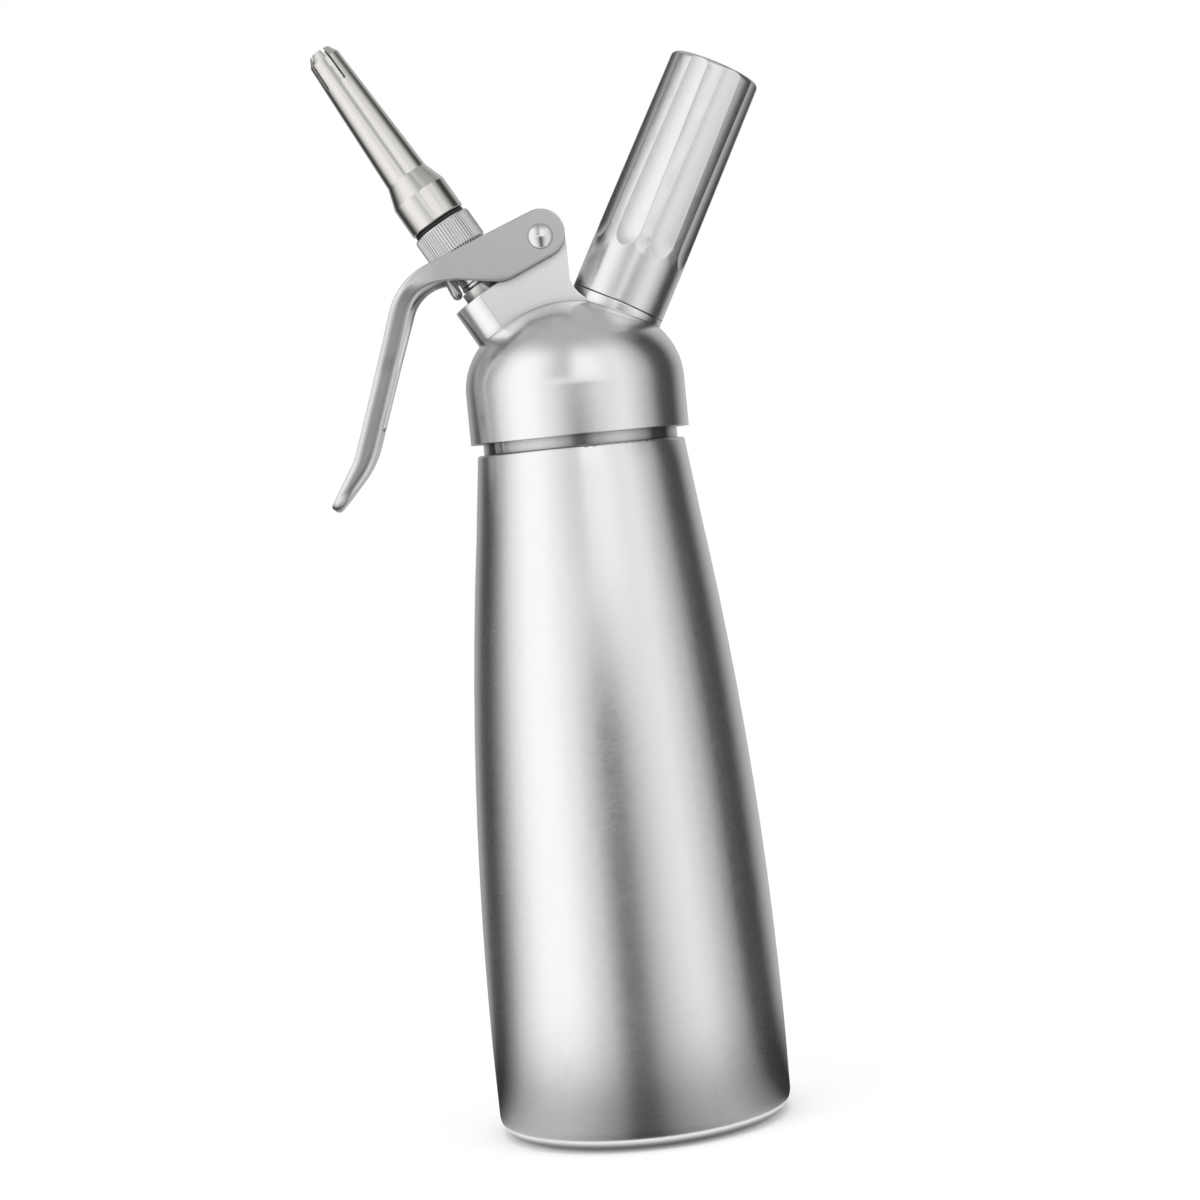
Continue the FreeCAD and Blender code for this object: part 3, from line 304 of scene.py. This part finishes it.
def seamless(node, sharp=math.radians(25)):
    """Smooths a turned piece across its seam, and keeps its sharp edges sharp."""
    tree = bpy.data.node_groups.new("seamless", "GeometryNodeTree")
    for way in ("INPUT", "OUTPUT"):
        tree.interface.new_socket("Geometry", in_out=way, socket_type="NodeSocketGeometry")
    merge = tree.nodes.new("GeometryNodeMergeByDistance")
    merge.inputs["Distance"].default_value = 1e-6
    corner = tree.nodes.new("FunctionNodeCompare")
    corner.inputs[1].default_value = sharp
    smooth = tree.nodes.new("GeometryNodeSetMeshNormal")
    tree.links.new(tree.nodes.new("NodeGroupInput").outputs[0], merge.inputs[0])
    tree.links.new(merge.outputs[0], smooth.inputs["Mesh"])
    tree.links.new(tree.nodes.new("GeometryNodeInputMeshEdgeAngle").outputs[0], corner.inputs[0])
    tree.links.new(corner.outputs[0], smooth.inputs["Edge Sharpness"])
    tree.links.new(smooth.outputs[0], tree.nodes.new("NodeGroupOutput").inputs[0])
    node.modifiers.new("seamless", "NODES").node_group = tree


seamless(NODES["bottle"])


def dressed(mesh, name, body, material):
    """Puts a mesh in the scene as a piece that rides a body."""
    mesh.materials.append(MATERIALS[material])
    made = bpy.data.objects.new(name, mesh)
    bpy.context.collection.objects.link(made)
    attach(made, body)


def screw_ridge(name, body, material, axis, radius, low, turns, pitch, height, width):
    """A trapezoid thread ridge as one ribbon that starts and ends in the surface that carries it."""
    sides = 96
    steps = int(turns * sides)
    run_out = 18.0
    points, faces = [], []
    for step in range(steps + 1):
        turn = 2 * math.pi * step / sides
        fade = min(1.0, step / run_out, (steps - step) / run_out)
        z = low + pitch * step / sides
        for across, out in ((-0.5, -0.25), (-0.22, fade), (0.22, fade), (0.5, -0.25)):
            r = radius + height * out
            points.append(axis @ Vector((r * math.cos(turn), r * math.sin(turn), z + across * width)))
    for step in range(steps):
        a, b = 4 * step, 4 * step + 4
        for side in range(4):
            after = (side + 1) % 4
            faces.append((a + side, a + after, b + after, b + side))
    end = 4 * steps
    faces += [(3, 2, 1, 0), (end, end + 1, end + 2, end + 3)]
    mesh = bpy.data.meshes.new(name)
    mesh.from_pydata(points, [], faces)
    dressed(mesh, name, body, material)


screw_ridge("neck_thread", "bottle", "satin_steel", UPRIGHT, *NECK_THREAD)


def turned_piece(name, body, material, axis, profile, sides=96):
    """Smooth piece turned about an axis from (radius, height) points; closed where the radius is 0."""
    points, faces = [], []
    for r, z in profile:
        for side in range(sides):
            turn = 2 * math.pi * side / sides
            points.append(axis @ Vector((r * math.cos(turn), r * math.sin(turn), z)))
    for row in range(len(profile) - 1):
        for side in range(sides):
            after = (side + 1) % sides
            a = row * sides
            faces.append((a + side, a + after, a + sides + after, a + sides + side))
    mesh = bpy.data.meshes.new(name)
    mesh.from_pydata(points, [], faces)
    shape = bmesh.new()
    shape.from_mesh(mesh)
    bmesh.ops.remove_doubles(shape, verts=shape.verts, dist=1e-6)
    bmesh.ops.recalc_face_normals(shape, faces=shape.faces)
    shape.to_mesh(mesh)
    shape.free()
    mesh.shade_smooth()
    dressed(mesh, name, body, material)


# Polished dome of the pivot pin, with its small cylindrical rim.
PIVOT = Matrix.Translation((PIVOT_X, 0, PIVOT_Z)) @ Matrix.Rotation(math.radians(90), 4, "X")
crown = CAP_HIGH - CAP_LOW - CAP_RIM
bulge_r = (CAP_R ** 2 + crown ** 2) / (2 * crown)
span = math.asin(CAP_R / bulge_r)
steps = 14
dome = [(CAP_FOOT_R, CAP_LOW), (CAP_R, CAP_LOW), (CAP_R, CAP_LOW + CAP_RIM)]
for step in range(1, steps + 1):
    lean = span * (1 - step / steps)
    dome.append((bulge_r * math.sin(lean), CAP_HIGH - bulge_r + bulge_r * math.cos(lean)))
turned_piece("pin_dome", "head", "pin", PIVOT, dome)


def knurl(name, body, material, axis, root, tip, low, high, chamfer, wall, teeth):
    """Straight knurl: a closed band of upright teeth, chamfered at both ends."""
    columns = 4 * teeth
    rows = [(low, 0.0), (low + chamfer * 0.7, 1.0), (high - chamfer, 1.0), (high, 0.0)]
    points = []
    for z, share in rows:
        for column in range(columns):
            turn = 2 * math.pi * column / columns
            out = (0.0, 0.75, 1.0, 0.75)[column % 4]
            r = root + (tip - root) * out * share
            points.append(axis @ Vector((r * math.cos(turn), r * math.sin(turn), z)))
    inner = len(points)
    for z in (low, high):
        for column in range(columns):
            turn = 2 * math.pi * column / columns
            r = root - wall
            points.append(axis @ Vector((r * math.cos(turn), r * math.sin(turn), z)))
    faces = []
    for column in range(columns):
        after = (column + 1) % columns
        for row in range(len(rows) - 1):
            a = row * columns
            faces.append((a + column, a + after, a + columns + after, a + columns + column))
        top = (len(rows) - 1) * columns
        faces.append((top + column, top + after, inner + columns + after, inner + columns + column))
        faces.append((inner + columns + column, inner + columns + after, inner + after, inner + column))
        faces.append((inner + column, inner + after, after, column))
    mesh = bpy.data.meshes.new(name)
    mesh.from_pydata(points, [], faces)
    dressed(mesh, name, body, material)


knurl("knurled_band", "valve", "knurl", VALVE, KNURL_ROOT, KNURL_TIP, KNURL_LOW, KNURL_HIGH,
      KNURL_CHAMFER, KNURL_WALL, KNURL_TEETH)


# A studio tent round the object: soft grey panels that only its metal reflects.
# Each stop is (degrees from the camera's side towards +X, grey).
TENT = [(-180, 0.45), (-150, 0.38), (-134, 0.06), (-118, 0.04), (-104, 0.25), (-88, 0.72), (-68, 1.0),
        (-46, 1.0), (-30, 0.80), (-14, 0.46), (-5, 0.13), (5, 0.13), (16, 0.44), (34, 0.74), (50, 0.84),
        (66, 0.62), (82, 0.36), (94, 0.07), (120, 0.04), (136, 0.36), (156, 0.55), (180, 0.45)]
TENT_R, TENT_H, TENT_PEAK, TENT_FOOT = 0.85, 0.95, 0.12, 0.0003

# The camera's side of the tent is lifted between these azimuths and from this height up, less so
# on the left above the second height. Each pair is (start, length of the change).
FRONT_LOW, FRONT_HIGH = (0.238, 0.02), (0.335, 0.03)
FRONT_SIDE, FRONT_LEFT = (24.0, 16.0), (0.0, 4.0)
LIFTED, LIFTED_LEFT = 0.95, 0.5

# Painted shadow on the tent's floor rings, darker near the object and seen only in reflections, and the
# ceiling's grey above an elevation seen from the object.
TENT_FLOOR_SHADOW, FLOOR_NEAR = 0.45, (0.1, 0.1)
CEILING, CEILING_FROM = 0.42, (42.0, 25.0)
EYE_Z = 0.2
FLOOR_RINGS = (0.0424, 0.07, 0.1, 0.125, 0.15, 0.175, 0.2, 0.3, 0.45, 0.65)
CEILING_RINGS = (0.85, 0.65, 0.45, 0.25, 0.1, 0.02)


def step_in(value, change):
    """0 up to the start of a change and 1 from its end on."""
    start, length = change
    return min(1.0, max(0.0, (value - start) / length))


def grey_at(azimuth, reach, height):
    """Grey of the tent's cloth at a place on it."""
    for (a, low), (b, high) in zip(TENT, TENT[1:]):
        if a <= azimuth <= b:
            grey = low + (high - low) * (azimuth - a) / (b - a)
            break
    drop = step_in(height, FRONT_HIGH) * step_in(-azimuth, FRONT_LEFT)
    level = LIFTED - (LIFTED - LIFTED_LEFT) * drop
    lift = step_in(height, FRONT_LOW) * (1.0 - step_in(abs(azimuth), FRONT_SIDE))
    grey += (max(grey, level) - grey) * lift
    # Painted shadow: the tent's floor rings darken towards the object, seen only in the metal's reflections.
    if height < EYE_Z:
        grey *= TENT_FLOOR_SHADOW + (1.0 - TENT_FLOOR_SHADOW) * step_in(reach, FLOOR_NEAR)
    over = step_in(math.degrees(math.atan2(height - EYE_Z, reach)), CEILING_FROM)
    return grey * (1.0 - over) + CEILING * over


def studio_tent():
    """Floor rings, an upright wall and a low cone, with their grey held at the points."""
    columns, wall_rows = 180, 40
    rings = [(reach, TENT_FOOT) for reach in FLOOR_RINGS]
    rings += [(TENT_R, TENT_FOOT + TENT_H * row / wall_rows) for row in range(wall_rows + 1)]
    rings += [(share * TENT_R, TENT_H + TENT_PEAK * (1 - share)) for share in CEILING_RINGS]
    points, faces, greys = [], [], []
    for reach, height in rings:
        for column in range(columns):
            azimuth = -180 + 360 * column / columns
            turn = math.radians(azimuth)
            points.append((reach * math.sin(turn), -reach * math.cos(turn), height))
            greys.append(grey_at(azimuth, reach, height))
    for row in range(len(rings) - 1):
        for column in range(columns):
            a = row * columns + column
            b = row * columns + (column + 1) % columns
            faces.append((a, b, b + columns, a + columns))
    mesh = bpy.data.meshes.new("studio_tent")
    mesh.from_pydata(points, [], faces)
    layer = mesh.attributes.new("grey", "FLOAT", "POINT")
    layer.data.foreach_set("value", greys)
    shader = Shader("tent_cloth")
    shade = shader.node("ShaderNodeAttribute", attribute_name="grey")
    glow = shader.node("ShaderNodeEmission")
    shader.set(glow.inputs["Color"], shader.vector(*(shade.outputs["Fac"],) * 3))
    shader.surface(glow)
    mesh.materials.append(shader.material)
    made = bpy.data.objects.new("studio_tent", mesh)
    bpy.context.collection.objects.link(made)
    made.visible_camera = False
    made.visible_diffuse = False
    made.visible_shadow = False
    made.visible_transmission = False


studio_tent()

# The world and the floor: white where the camera, metal or glass sees them, plain light elsewhere.
# The floor's white grows from its share near the object to full between two distances, and close to the
# object's foot it gives way to the darker matt paint as a painted contact shadow.
PLAIN_SKY = 0.85
FLOOR, FLOOR_Z = 6.0, -0.0002
WHITE_NEAR, WHITE_R = 0.72, (0.12, 0.7)
CONTACT_SHADOW_REACH, CONTACT_SHADOW_SHARE = 0.016, 0.25

world = bpy.data.worlds.new("studio")
bpy.context.scene.world = world
world.use_nodes = True
sky = Shader("sky", world.node_tree)
background = sky.node("ShaderNodeBackground")
sky.set(background.inputs["Color"], (1.0, 1.0, 1.0, 1.0))
sky.set(background.inputs["Strength"], sky.remap(sky.open_view(), 0.0, 1.0, PLAIN_SKY, 1.0))
sky.set(sky.node("ShaderNodeOutputWorld").inputs["Surface"], background.outputs[0])

corners = [(-FLOOR, -FLOOR, 0), (FLOOR, -FLOOR, 0), (FLOOR, FLOOR, 0), (-FLOOR, FLOOR, 0)]
floor_mesh = bpy.data.meshes.new("floor")
floor_mesh.from_pydata(corners, [], [(0, 1, 2, 3)])
paint = Shader("floor_paint")
place = paint.node("ShaderNodeTexCoord").outputs["Object"]
matt = paint.node("ShaderNodeBsdfDiffuse")
paint.set(matt.inputs["Color"], paint.tint(paint.noise(place, 40.0), (0.86, 0.86, 0.86), (0.9, 0.9, 0.9)))
glow = paint.node("ShaderNodeEmission")
away = paint.node("ShaderNodeVectorMath", operation="LENGTH")
paint.set(away.inputs[0], place)
# Painted contact shadow: near the object's foot the glow gives way to the darker matt paint.
near = paint.node("ShaderNodeAmbientOcclusion", samples=12)
paint.set(near.inputs["Distance"], CONTACT_SHADOW_REACH)
share = paint.math(
    "MULTIPLY",
    paint.remap(away.outputs["Value"], *WHITE_R, WHITE_NEAR, 1.0),
    paint.remap(near.outputs["AO"], 0.4, 0.95, CONTACT_SHADOW_SHARE, 1.0))
blend = paint.node("ShaderNodeMixShader")
paint.set(blend.inputs[0], paint.math("MULTIPLY", paint.open_view(), share))
paint.set(blend.inputs[1], matt.outputs[0])
paint.set(blend.inputs[2], glow.outputs[0])
paint.surface(blend)
floor_mesh.materials.append(paint.material)
floor = bpy.data.objects.new("floor", floor_mesh)
bpy.context.collection.objects.link(floor)
floor.location = (0, 0, FLOOR_Z)


def lamp(name, place, aim, width, height, power):
    """Soft rectangular lamp that metal doesn't mirror."""
    data = bpy.data.lights.new(name, "AREA")
    data.shape = "RECTANGLE"
    data.size, data.size_y = width, height
    data.energy = power
    made = bpy.data.objects.new(name, data)
    bpy.context.collection.objects.link(made)
    made.location = place
    made.rotation_euler = (Vector(aim) - Vector(place)).to_track_quat("-Z", "Y").to_euler()
    made.visible_glossy = False


lamp("lamp_left", (-1.1, -0.8, 1.0), (0, 0, 0.15), 0.9, 1.2, 9.0)
lamp("lamp_right", (1.2, -0.7, 1.1), (0, 0, 0.15), 0.9, 1.2, 7.0)
lamp("lamp_top", (0.0, 0.1, 1.6), (0, 0, 0.1), 1.2, 1.2, 8.0)

# Camera: fitted to the photograph, which is rolled about the line of sight.
PHOTO_PX, FOCAL_PX, SENSOR = 1200, 2871.77, 36.0
place, aim, roll = Vector((0.0, -0.8, 0.18077)), Vector((0.00108, 0.0, 0.14617)), math.radians(5.59)
ahead = (aim - place).normalized()
side = ahead.cross(Vector((0, 0, 1))).normalized()
up = side.cross(ahead)
across = side * math.cos(roll) - up * math.sin(roll)
above = side * math.sin(roll) + up * math.cos(roll)
data = bpy.data.cameras.new("camera")
data.sensor_width = SENSOR
data.lens = FOCAL_PX / PHOTO_PX * SENSOR
data.clip_end = 100.0
camera = bpy.data.objects.new("camera", data)
bpy.context.collection.objects.link(camera)
camera.matrix_world = Matrix((
    (across.x, above.x, -ahead.x, place.x),
    (across.y, above.y, -ahead.y, place.y),
    (across.z, above.z, -ahead.z, place.z),
    (0, 0, 0, 1)))
bpy.context.scene.camera = camera
bpy.context.scene.view_settings.view_transform = "Standard"
